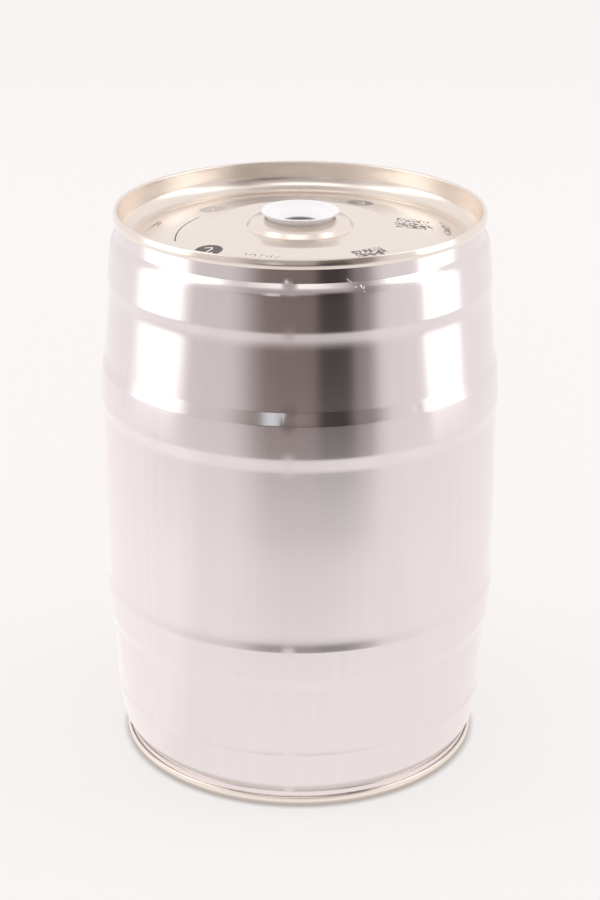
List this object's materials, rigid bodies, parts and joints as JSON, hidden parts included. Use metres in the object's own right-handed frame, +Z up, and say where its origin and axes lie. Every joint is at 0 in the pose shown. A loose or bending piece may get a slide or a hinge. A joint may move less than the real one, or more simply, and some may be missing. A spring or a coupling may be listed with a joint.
{
  "type": "mini keg",
  "caption": "Hooped sheet-metal drink keg with double-seamed ends, a collared bung ring in the top and a low pull-out tap with a turning knob.",
  "frame": {"origin": "centre of the bottom chime's resting circle, on the floor plane", "axes": "+Z up along the keg's axis; +Y out of the tap; the wall's weld is near -Y"},
  "size_m": [0.1766, 0.1767, 0.25],
  "materials": {
    "wall_tinplate": "satin tinplate with a fine vertical grain, clear varnish",
    "end_tinplate": "satin tinplate with a pale champagne lacquer",
    "seam_compound": "matt grey sealing compound",
    "bung_plastic": "white soft plastic, slight sheen",
    "seal_rubber": "black nitrile rubber",
    "housing_plastic": "off-white polypropylene, fine texture",
    "spout_plastic": "pale grey acetal, smooth",
    "core_plastic": "dark grey acetal, smooth",
    "knob_plastic": "dark grey polypropylene, fine texture",
    "spring_steel": "bright spring steel"
  },
  "bodies": {
    "keg": {"barrel_body": "wall_tinplate", "top_end": "end_tinplate", "bottom_end": "end_tinplate", "top_seam_compound": "seam_compound", "bottom_seam_compound": "seam_compound", "bung_ring": "bung_plastic", "tap_gasket": "seal_rubber", "tap_housing": "housing_plastic", "tap_lock_ring": "housing_plastic", "housing_seal_front": "seal_rubber", "housing_seal_rear": "seal_rubber"},
    "spout": {"tap_slide": "spout_plastic", "slide_clip": "spring_steel"},
    "valve": {"valve_core": "core_plastic", "core_seal_front": "seal_rubber", "core_seal_rear": "seal_rubber", "tap_knob": "knob_plastic"}
  },
  "joints": [
    {"name": "tap_pull", "type": "slide", "parent": "keg", "child": "spout", "axis": [0, 1, 0], "range_m": [0, 0.026]},
    {"name": "tap_turn", "type": "hinge", "parent": "spout", "child": "valve", "pos_m": [0, 0.0835, 0.048], "axis": [0, 1, 0], "range_deg": [0, 90]}
  ]
}
